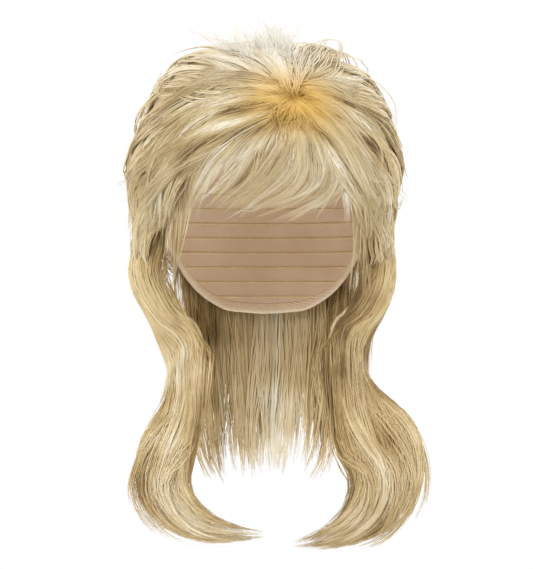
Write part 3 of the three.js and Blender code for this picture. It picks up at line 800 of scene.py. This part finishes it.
def spread_roots(count, rng, away_range):
    """Turns and shares of reach, spread evenly by picking the farthest of several candidates."""
    chosen = []
    places = []
    while len(chosen) < count:
        turn = np.radians(rng.uniform(0, 360, CANDIDATES))
        share = rng.uniform(*away_range, CANDIDATES)
        away = share * crown_reach(turn)
        keep = rng.random(CANDIDATES) < np.sin(away) * crown_reach(turn) / 2.2 + 0.05
        if not keep.any():
            continue
        turn, share, away = turn[keep], share[keep], away[keep]
        d = crown_direction(turn, away)
        best = 0
        if places:
            gap = np.min(np.linalg.norm(d[:, None] - np.array(places)[None], axis=-1), axis=1)
            best = int(np.argmax(gap))
        chosen.append((turn[best], share[best]))
        places.append(d[best])
    return np.array(chosen).T


def crown_locks(
    count, rng, length, wide, thick, lift, tone,
    away_range=(0.02, 0.9), bend=0.12, flick=0.0, sunk=1.1, deep=0.8,
):
    """Locks that run away from the whorl with a swirl, buried at the root and lifted at the tip."""
    turn0, share = spread_roots(count, rng, away_range)
    reach = crown_reach(turn0)
    open_share = smooth((np.degrees(reach) - 25) / 40)
    away0 = share * reach
    span = lerp(0.45, 1.0, open_share) * rng.uniform(*length, count) / MEAN_RADIUS
    span = np.minimum(span, np.maximum(reach + np.radians(rng.uniform(4, 17, count)) - away0, 0.25))
    swirl = 0.06 + 0.12 * np.sin(3 * turn0 + 1.0) + rng.normal(0, bend, count)
    curl = 0.1 * np.sin(5 * turn0) + rng.normal(0, 0.4 * bend, count)
    hook = rng.normal(0, flick, count)
    away = away0[:, None] + span[:, None] * T
    aside = (swirl * span)[:, None] * T**1.5 + (curl * span)[:, None] * np.sin(math.pi * T)
    aside = aside + (hook * span)[:, None] * T**5
    turn = turn0[:, None] + aside / np.maximum(np.sin(away), 0.25)
    tips = rng.uniform(*lift, count)[:, None]
    arch = rng.uniform(0, 0.9, count)[:, None]
    rise = -thick * (sunk * (1 - T) ** 2 + deep) + tips * T**2.5 + arch * np.sin(math.pi * T)
    rise = rise - HEM_TURN * np.maximum(0, away - (reach + np.radians(3))[:, None])
    paths = crown_point(turn, away, rise)
    outward = crown_direction(turn, away)
    widths = wide * rng.uniform(0.7, 1.25, count)[:, None] * belly(T)
    depths = thick * belly(T, 0.6, 0.4) * np.ones((count, 1))
    tones = tone + rng.uniform(-0.3, 0.3, count)
    return Locks(paths, outward, widths, depths, tones)


def crown_tuft(count, rng):
    """Short pale wisps that stand up on top of the crown, over the whorl, whitened in part by painted glare.
    """
    turn = np.radians(rng.uniform(156, 196, count))
    away0 = rng.uniform(0.4, 0.76, count)
    away = away0[:, None] + rng.uniform(0.02, 0.2, count)[:, None] * T
    lean = rng.normal(0, 0.14, count)[:, None] * T**2
    rise = -7 + rng.uniform(13, 29, count)[:, None] * T**1.1
    paths = crown_point(turn[:, None] + lean, away, rise)
    outward = np.broadcast_to(np.array([0.0, -1.0, 0.0]), paths.shape)
    return Locks(paths, outward, 6 * belly(T, 0.8, 0.5), 4 * belly(T, 0.6), 0.5, 0.3)


def crown_hair(material):
    rng = np.random.default_rng(7)
    sweep = front_locks(SWEEP_GUIDES, CROWN_HALF_WIDTH, rng, 2.2, 3.5, (-1, 1.5), 0.04)
    # The tones rise from the inner locks to the middle and outer ones: painted shade deeper in the hair.
    inner = crown_locks(120, rng, (70, 100), 15, 2.4, (-2.5, -1), -0.06, sunk=0.4, deep=1.25)
    middle = crown_locks(82, rng, (80, 120), 13, 2.8, (-2, 0.5), 0.0, sunk=0.9)
    outer = crown_locks(60, rng, (70, 110), 10, 2.6, (-1, 2), 0.06)
    whorl = crown_locks(38, rng, (50, 90), 9, 1.2, (-1, 1), 0.1, (0.0, 0.04), sunk=0.3)
    flicks = crown_locks(80, rng, (28, 50), 4, 1.6, (3, 9), 0.1, (0.15, 0.92), 0.3, 0.5)
    parts = [
        ("crown_inner", inner, 20, 6, 0.58, 0.15),
        ("crown_middle", middle, 32, 9, 0.4, 0.15),
        ("crown_outer", outer, 34, 9, 0.34, 0.2),
        ("crown_whorl", whorl, 24, 8, 0.27, 0.15),
        ("crown_sweep", sweep, 30, 9, 0.32, 0.22),
        ("crown_flicks", flicks, 12, 7, 0.24, 0.6),
        ("crown_tuft", crown_tuft(34, rng), 14, 6, 0.2, 0.75),
    ]
    for name, locks, each, rings, radius, gather in parts:
        piece = strands_piece(name, grow_strands(locks, each, rings, radius, rng, gather=gather))
        dress(piece, material, "crown_hair")


# The locks on the front, drawn in the front view and laid on the front of the hair. Each guide is four
# points, across and up in the frame, a half width, how many locks follow it, and its tuck: how far its end is
# drawn back towards the ear, which also darkens it with painted shade.

SWEEP_GUIDES = [
    ((10, 2), (-18, 6), (-50, 1), (-84, -22), 8.0, 6, 6),
    ((10, -8), (-20, -9), (-56, -22), (-95, -54), 8.0, 7, 4),
    ((7, -15), (-25, -23), (-61, -41), (-99, -74), 7.5, 7, 2),
    ((3, -19), (-29, -34), (-62, -56), (-94, -90), 7.0, 7, 0),
    ((25, 3), (46, 2), (68, -9), (88, -33), 7.5, 6, 6),
    ((26, -2), (50, -11), (72, -27), (97, -56), 8.0, 7, 4),
    ((28, -9), (50, -23), (70, -45), (94, -78), 7.5, 7, 2),
    ((29, -14), (47, -31), (63, -55), (83, -92), 6.5, 7, 0),
]
FRINGE_GUIDES = [
    ((6, -13), (-28, -22), (-54, -46), (-68, -96), 6.0, 10, 4),
    ((8, -16), (-22, -28), (-46, -54), (-60, -96), 5.5, 10, 0),
    ((10, -18), (-14, -34), (-36, -58), (-52, -92), 5.0, 10, 0),
    ((13, -20), (-5, -40), (-23, -63), (-46, -87), 4.5, 9, 0),
    ((15, -21), (5, -43), (-11, -67), (-38, -89), 4.0, 9, 0),
    ((17, -21), (15, -43), (3, -69), (-30, -91), 4.0, 9, 0),
    ((19, -21), (24, -43), (17, -69), (-22, -91), 4.0, 9, 0),
    ((23, -21), (34, -41), (32, -72), (-10, -93), 3.8, 9, 0),
    ((27, -20), (40, -40), (43, -74), (6, -94), 3.6, 8, 0),
    ((30, -19), (45, -37), (50, -66), (30, -92), 3.6, 7, 0),
    ((34, -17), (50, -33), (58, -63), (60, -98), 4.5, 8, 2),
]
TEMPLE_LEFT_GUIDES = [
    ((4, -7), (-46, -20), (-76, -56), (-84, -108), 8.0, 8, 0),
    ((6, -10), (-40, -30), (-68, -66), (-78, -114), 7.0, 7, 6),
    ((-10, -18), (-50, -40), (-64, -86), (-66, -146), 5.5, 8, 26),
]
TEMPLE_RIGHT_GUIDES = [
    ((40, -7), (72, -26), (84, -60), (83, -104), 8.0, 8, 0),
    ((32, -12), (58, -36), (74, -68), (78, -108), 7.0, 8, 4),
    ((46, -20), (60, -46), (66, -88), (66, -146), 5.5, 8, 26),
]
FRINGE_HALF_WIDTH = 90
TEMPLE_HALF_WIDTH = 96
CROWN_HALF_WIDTH = 101
TUCK_SHADE = 0.012


def front_point(x, z, half_width, lift):
    """Points on the front of the hair, from a place across and a height above the head's widest level."""
    rise = np.where(z > 0, HAIR_TOP, HAIR_LOW)
    level = form_level(np.abs(z) / rise)
    across = np.minimum(0.97, np.abs(x) / (half_width * level))
    y = HAIR_LEAN * np.maximum(z, 0) - (HAIR_FRONT * level + 1 + lift) * np.sqrt(1 - across**2)
    return np.stack([x, y, z], axis=-1) + CROWN_CENTRE


def front_locks(guides, half_width, rng, thick, jitter, lift, tone):
    """The locks of each guide, each set aside from it by a small random amount."""
    index = np.repeat(np.arange(len(guides)), [g[5] for g in guides])
    points = np.array([g[:4] for g in guides], dtype=float)[index]
    wide, tuck = np.array([(g[4], g[6]) for g in guides], dtype=float)[index].T
    n = len(index)
    points[..., 0] -= HAIR_MIDDLE_X
    points[..., 1] -= CENTRE[2]
    spread = np.array([0.4, 0.9, 1.1, 1.3])[:, None]
    points = points + rng.normal(0, jitter, (n, 4, 2)) * spread * np.array([1.0, 0.7])
    route = np.stack([catmull_rom(row, T) for row in points])
    rise = rng.uniform(*lift, n)[:, None] * np.sin(math.pi * np.minimum(1, T * 0.9)) - 4 * (1 - T) ** 2
    paths = front_point(route[..., 0], route[..., 1], half_width, rise)
    paths[..., 1] += tuck[:, None] * smooth((T - 0.35) / 0.65)
    outward = unit((paths - CROWN_CENTRE) * np.array([1, 1, 0.15]))
    widths = (wide * rng.uniform(0.6, 1.1, n))[:, None] * belly(T, 0.5, 0.6)
    tones = tone - TUCK_SHADE * tuck + rng.normal(0, 0.16, n)
    return Locks(paths, outward, widths, thick * belly(T, 0.7, 0.2), tones)


def fringe(material):
    rng = np.random.default_rng(11)
    locks = front_locks(FRINGE_GUIDES, FRINGE_HALF_WIDTH, rng, 1.2, 2.8, (-1, 2.5), 0.12)
    piece = strands_piece("fringe_strands", grow_strands(locks, 20, 9, 0.21, rng, stray=0.1, gather=0.35))
    dress(piece, material, "fringe")


def temples(material):
    rng = np.random.default_rng(13)
    for name, guides in (("temple_left", TEMPLE_LEFT_GUIDES), ("temple_right", TEMPLE_RIGHT_GUIDES)):
        locks = front_locks(guides, TEMPLE_HALF_WIDTH, rng, 2.6, 3.6, (-3, 2), 0.0)
        piece = strands_piece(name + "_strands", grow_strands(locks, 26, 9, 0.34, rng))
        dress(piece, material, name)


# The long falls. Each row holds drop, out, back, half width, faces, bow and thick: drop and thick are shares
# of the fall's own sizes, out, half width and bow of the hair's half width, back of the head's half length,
# and faces is the way that the sheet looks, in degrees from the front.

LEFT_ROWS = [
    (0.0, 0.717, 0.05, 0.5, 88, 0.12, 0.6),
    (0.134, 0.75, 0.08, 0.53, 86, 0.14, 0.9),
    (0.248, 0.78, 0.09, 0.51, 84, 0.13, 1),
    (0.344, 0.74, 0.08, 0.44, 80, 0.11, 1),
    (0.42, 0.655, 0.08, 0.39, 72, 0.08, 1),
    (0.489, 0.565, 0.02, 0.31, 62, 0.05, 1.1),
    (0.557, 0.565, -0.09, 0.215, 48, 0.04, 1.4),
    (0.634, 0.595, -0.25, 0.18, 32, 0.03, 1.6),
    (0.71, 0.66, -0.39, 0.2, 20, 0.03, 1.7),
    (0.786, 0.72, -0.5, 0.2, 10, 0.03, 1.7),
    (0.863, 0.72, -0.59, 0.205, 5, 0.03, 1.5),
    (0.935, 0.55, -0.67, 0.14, 3, 0.02, 1.2),
    (0.968, 0.29, -0.74, 0.08, 3, 0.01, 0.8),
    (0.968, -0.03, -0.8, 0.012, 3, 0, 0.15),
]
RIGHT_ROWS = [
    (0.0, 0.717, 0.05, 0.5, 88, 0.12, 0.6),
    (0.134, 0.74, 0.08, 0.51, 84, 0.13, 0.9),
    (0.248, 0.75, 0.09, 0.49, 80, 0.14, 1),
    (0.344, 0.7, 0.08, 0.42, 76, 0.12, 1),
    (0.42, 0.605, 0.08, 0.37, 68, 0.09, 1),
    (0.489, 0.575, 0.02, 0.31, 58, 0.06, 1.2),
    (0.557, 0.59, -0.09, 0.22, 42, 0.05, 1.4),
    (0.634, 0.67, -0.24, 0.25, 25, 0.05, 1.6),
    (0.71, 0.765, -0.36, 0.32, 14, 0.05, 1.7),
    (0.786, 0.83, -0.46, 0.315, 8, 0.05, 1.7),
    (0.851, 0.82, -0.55, 0.265, 5, 0.04, 1.6),
    (0.908, 0.74, -0.62, 0.21, 3, 0.03, 1.4),
    (0.95, 0.61, -0.68, 0.145, 3, 0.02, 1.2),
    (0.984, 0.42, -0.745, 0.08, 3, 0.01, 0.8),
    (1.0, 0.13, -0.81, 0.012, 3, 0, 0.15),
]
BACK_ROWS = [
    (0.0, 0, 0.64, 0.7, 180, 0.47, 0.6),
    (0.15, 0, 0.62, 0.72, 180, 0.5, 0.9),
    (0.29, 0, 0.63, 0.71, 180, 0.47, 1),
    (0.42, 0, 0.65, 0.67, 180, 0.38, 1),
    (0.547, 0, 0.67, 0.62, 180, 0.28, 1),
    (0.673, 0, 0.71, 0.58, 180, 0.21, 1),
    (0.804, 0, 0.8, 0.56, 180, 0.15, 0.9),
    (0.92, 0, 0.91, 0.5, 180, 0.11, 0.7),
    (1.0, 0, 0.99, 0.38, 180, 0.07, 0.3),
]


class Fall:
    """A long fall of hair: its middle line, section and directions."""

    def __init__(self, rows, side, length, root, thickness, shade=0.0, fuller=0.0, margin=1.2):
        drop, out, back, half, faces, bow, thick = np.array(rows, dtype=float).T
        x = side * out * HAIR_HALF_WIDTH
        z = root - drop * length
        self.middle = np.stack([x, back * HEAD_HALF_LENGTH, z], axis=-1) + CENTRE
        sizes = [half * HAIR_HALF_WIDTH, bow * HAIR_HALF_WIDTH, thick * thickness, faces]
        self.sizes = np.stack(sizes, axis=-1)
        self.side, self.shade, self.fuller, self.margin = side, shade, fuller, margin
        ends = self.at(0.7, np.array([-1.0, 1.0]), 0.0)[0]
        self.inner = float(np.sign(abs(ends[0, 0]) - abs(ends[1, 0])))

    def at(self, s, u, v):
        """Points at shares down, across (-1 to 1) and through (-1 inside, 1 outside), outward ways, sizes."""
        s, u, v = np.broadcast_arrays(s, u, v)
        middle = catmull_rom(self.middle, s)
        step = 1e-3
        along = unit(catmull_rom(self.middle, s + step) - catmull_rom(self.middle, s - step))
        half, bow, thick, faces = np.moveaxis(catmull_rom(self.sizes, s), -1, 0)
        faces = np.radians(faces)
        looking = np.stack([self.side * np.sin(faces), -np.cos(faces), np.zeros_like(faces)], axis=-1)
        across = -self.side * unit(np.cross(along, looking))
        outward = unit(looking - along * np.sum(along * looking, axis=-1, keepdims=True))
        body = np.sqrt(np.clip(1 - np.clip(u, -1, 1) ** 4, 0, 1))
        rise = bow * (1 - np.clip(np.abs(u), 0, 1.4) ** 2) + v * 0.5 * thick * body
        points = middle + across * (u * half)[..., None] + outward * rise[..., None]
        bowed = outward + across * (2 * bow * u / np.maximum(half, 1))[..., None]
        return points, unit(bowed), half, thick


# The shade after the thickness is painted shade, heavier on the right fall, which the light leaves in shade.
FALLS = {
    "fall_left": Fall(LEFT_ROWS, -1, FALL_LENGTH, FALL_ROOT, FALL_THICKNESS, 0.08, 1.2),
    "fall_right": Fall(RIGHT_ROWS, 1, FALL_LENGTH, FALL_ROOT, FALL_THICKNESS, 0.45, 0.6),
    "fall_back": Fall(BACK_ROWS, 1, BACK_LENGTH, BACK_ROOT, BACK_THICKNESS, margin=0.5),
}


def fall_under(name, material):
    """The fall's dense middle, a thin closed sheet inside the strands that ends in points."""
    fall = FALLS[name]
    rows, columns = 36, 41
    shortest, point = (0.6, 0.2) if name == "fall_back" else (0.82, 0.08)
    end = shortest + point * (np.arange(columns) % 4 == 2)
    s = np.linspace(0.0, 1, rows)[:, None] * end[None]
    u = np.broadcast_to(np.linspace(-0.84, 0.84, columns), s.shape)
    lane = (u + 1) * 7 + 1.6 * s
    ridge = 1 - (2 * (lane % 1) - 1) ** 2
    thin = 1 - smooth((s - 0.7) / 0.2)
    outer = fall.at(s, u, (0.25 * ridge + 0.2) * thin + 0.02)[0]
    inner = fall.at(s, u, -0.25 * thin - 0.02)[0]
    # Painted shade in the troughs between lanes.
    piece = grid_piece(name + "_under", outer, inner, {"tone": 0.3 * ridge - 0.1}, wrap=False)
    dress(piece, material, name)


def fall_locks(fall, count, rng, wide, tone, start, end, through, lift=(0, 0.4), drift=0.16, out=0.0):
    """Locks down a fall, at ranges of start, end and depth, lifted and drifting aside towards their tips."""
    s0 = rng.uniform(*start, count)
    s1 = rng.uniform(*end, count)
    s = s0[:, None] + (s1 - s0)[:, None] * T
    u0 = (np.arange(count) + rng.random(count)) / count * 1.84 - 0.92
    rng.shuffle(u0)
    u0 = u0[:, None] + (rng.normal(0, drift, count) - out * fall.inner)[:, None] * T**1.3
    u = u0 + rng.normal(0, 0.08, count)[:, None] * np.sin(math.pi * T)
    half = fall.at(s, 0.0, 0.0)[2]
    widths = np.minimum(wide * rng.uniform(0.7, 1.3, count)[:, None], 0.35 * half) * belly(T, 0.6, 0.5)
    inset = 1 - fall.margin * widths / np.maximum(half, 2)
    inset = inset + 0.55 * out * T**2
    u = np.clip(u, -inset, inset)
    v = rng.uniform(*through, count)[:, None] + rng.uniform(*lift, count)[:, None] * T**2 - 0.7 * (1 - T) ** 4
    thick = fall.at(s, 0.0, 0.0)[3]
    depths = np.minimum(2.4, 0.28 * thick) * belly(T, 0.7, 0.5)
    v = v - 2 * depths / np.maximum(thick, 1) + fall.fuller * np.exp(-(((s - 0.17) / 0.06) ** 2))
    paths, outward = fall.at(s, u, v)[:2]
    # Painted shade: darker along the fall's inner edge, where the head would shade it, and down its upper
    # part by the fall's shade.
    inner_edge_shade = smooth((fall.inner * u[:, -8] - 0.3) / 0.6) * smooth((0.9 - s1) / 0.1 + 1)
    tone = tone - fall.shade * (1 - 0.6 * smooth((s.mean(axis=1) - 0.35) / 0.3)) - 0.25 * inner_edge_shade
    bands = 0.24 * np.sin(4.6 * u.mean(axis=1) + 2.2) + rng.normal(0, 0.14, count)
    return Locks(paths, outward, widths, depths, tone + bands)


def falls(material, under):
    rng = np.random.default_rng(17)
    for name, fall in FALLS.items():
        fall_under(name, under)
        # Inner locks take lower tones than outer ones: painted shade deeper in the fall.
        if name == "fall_back":
            inner = [
                fall_locks(fall, 34, rng, 9, -0.05, (0.0, 0.2), (0.8, 1.0), (-1.1, -0.4)),
                fall_locks(fall, 36, rng, 9, 0.0, (0.0, 0.25), (0.8, 1.0), (0.3, 1.0)),
            ]
            layers = [("", inner, 16, 10, 0.52)]
        else:
            inner = [
                fall_locks(fall, 22, rng, 9, -0.08, (0.0, 0.2), (0.9, 1.0), (-0.9, 0)),
                fall_locks(fall, 22, rng, 9, -0.04, (0.0, 0.2), (0.94, 1.0), (0.3, 0.6)),
            ]
            outer = [
                fall_locks(fall, 28, rng, 8, 0.05, (0.0, 0.3), (0.96, 1.0), (0.6, 0.9)),
                fall_locks(fall, 28, rng, 8, 0.08, (0.0, 0.1), (0.38, 0.56), (0.8, 1.1)),
                fall_locks(
                    fall, 20, rng, 6, 0.12, (0.42, 0.6), (0.72, 0.94), (0.8, 1.1), (0.3, 1.8), 0.2, 0.8
                ),
            ]
            layers = [("_inner", inner, 12, 11, 0.52), ("_outer", outer, 14, 13, 0.35)]
        for suffix, groups, each, rings, radius in layers:
            locks = Locks.joined(groups)
            grown = grow_strands(locks, each, rings, radius, rng, uneven=0.14, wave=0.1, grain=0.5)
            piece = strands_piece(name + suffix + "_strands", grown)
            dress(piece, material, name)


# Stage, lights and camera, in metres

FLOOR_SIDES = 96
FLOOR_RADIUS = 1.5
FLOOR_HEIGHT = -0.5
LIGHT_TARGET = (0, 0, -0.12)
# Each light's place, size and power.
LIGHTS = {
    "key": ((-0.9, -1.7, 0.75), 0.9, 12),
    "fill": ((1.3, -1.5, 0.1), 1.2, 5),
    "rim_left": ((-1.2, 0.9, 0.5), 0.5, 6),
    "rim_right": ((1.2, 0.9, 0.5), 0.5, 6),
    "top": ((0, 0.3, 1.4), 0.8, 6),
}


def area_light(name, place, size, power):
    data = bpy.data.lights.new(name, "AREA")
    data.size = size
    data.energy = power
    light = add_object(name, data)
    light.location = place
    direction = np.array(LIGHT_TARGET) - np.array(place)
    light.rotation_euler = Vector(direction).to_track_quat("-Z", "Y").to_euler()


def stage():
    floor_mesh = bpy.data.meshes.new("floor")
    turns = full_turn(FLOOR_SIDES)
    ring = [(FLOOR_RADIUS * math.cos(a), FLOOR_RADIUS * math.sin(a), FLOOR_HEIGHT) for a in turns]
    floor_mesh.from_pydata(ring, [], [list(range(FLOOR_SIDES))])
    floor = add_object("floor", floor_mesh)
    material, _, shader = new_material("floor_pale", 0.9, 0.1)
    shader.inputs["Base Color"].default_value = (0.86, 0.86, 0.85, 1)
    floor_mesh.materials.append(material)

    world = bpy.data.worlds.new("studio")
    bpy.context.scene.world = world
    world.use_nodes = True
    background = world.node_tree.nodes["Background"]
    background.inputs["Strength"].default_value = 1.0
    background.inputs["Color"].default_value = (1, 1, 1, 1)

    for name, values in LIGHTS.items():
        area_light(name, *values)


# The photograph: 0.72 mm to a pixel on a plane through the hair's sides, seen level from in front.
IMAGE_HEIGHT = 569
MM_PER_PIXEL = 0.72
CAMERA_DISTANCE = 2.2
IMAGE_MIDDLE = (0.0004, -0.02, -0.1386)
SENSOR_WIDTH = 36


def camera():
    data = bpy.data.cameras.new("camera")
    data.sensor_width = SENSOR_WIDTH
    data.lens = SENSOR_WIDTH * CAMERA_DISTANCE / (IMAGE_HEIGHT * MM_PER_PIXEL * MM)
    cam = add_object("camera", data)
    x, y, z = IMAGE_MIDDLE
    place = Matrix.Translation((x, y - CAMERA_DISTANCE, z))
    cam.matrix_world = place @ Matrix.Rotation(math.pi / 2, 4, "X")
    bpy.context.scene.camera = cam
    bpy.context.scene.view_settings.view_transform = "Standard"


camera()
stage()

fibre = fibre_material("crown_fibre", CROWN_COLOUR, 0.8, 0.39, 0.55)
front_fibre = fibre_material("fringe_fibre", CROWN_COLOUR, 0.75, 0.45, 0.5)
length_fibre = fibre_material("length_fibre", LENGTH_COLOUR, 0.0, 0.45, 0.9)
under = under_material("under_fibre")

cap(
    textile_material("net", (222, 194, 162), (246, 230, 208), 0.8),
    textile_material("weft", (214, 186, 142), (238, 218, 180), 0.6, 1400, "X"),
    textile_material("hem", (224, 198, 166), (244, 226, 200), 0.7, 1100, "DIAGONAL"),
)
crown_under(under)
crown_hair(fibre)
fringe(front_fibre)
temples(front_fibre)
falls(length_fibre, under)
